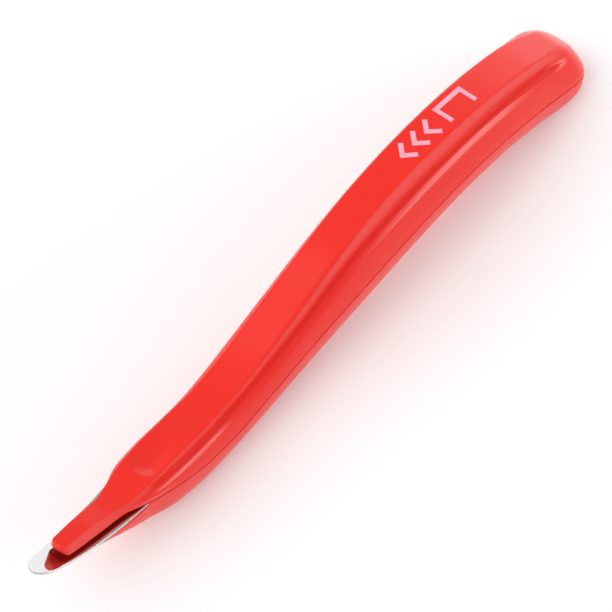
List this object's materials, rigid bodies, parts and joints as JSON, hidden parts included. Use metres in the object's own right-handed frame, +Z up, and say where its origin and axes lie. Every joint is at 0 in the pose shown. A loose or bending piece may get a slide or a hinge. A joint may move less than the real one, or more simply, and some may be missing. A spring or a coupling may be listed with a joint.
{
  "type": "staple remover",
  "caption": "Pen-style staple remover: curved two-shell plastic handle, polished steel tongue that slides under a staple, sprung finger above the tongue and a magnet in the nose.",
  "frame": {"origin": "centre of the bounding box at its lowest face, on the surface the tool lies on", "axes": "+X from the tongue's tip towards the tail, +Z up, +Y across the handle; Y = 0 is the plane of symmetry"},
  "size_m": [0.1834, 0.0188, 0.0288],
  "materials": {
    "shell_plastic": "glossy moulded red, soft highlights",
    "tongue_steel": "mirror-polished plated spring steel",
    "magnet_metal": "dull nickel-plated bar magnet"
  },
  "bodies": {
    "housing": {"upper_shell": "shell_plastic", "lower_shell": "shell_plastic", "tongue": "tongue_steel", "magnet": "magnet_metal"},
    "finger": {"nose_finger": "shell_plastic"}
  },
  "joints": [
    {"name": "finger_flex", "type": "hinge", "parent": "housing", "child": "finger", "pos_m": [-0.066, 0, 0.01489], "axis": [0, 1, 0], "range_deg": [-2.5, 4], "stiffness_Nm_per_rad": 2.4}
  ]
}
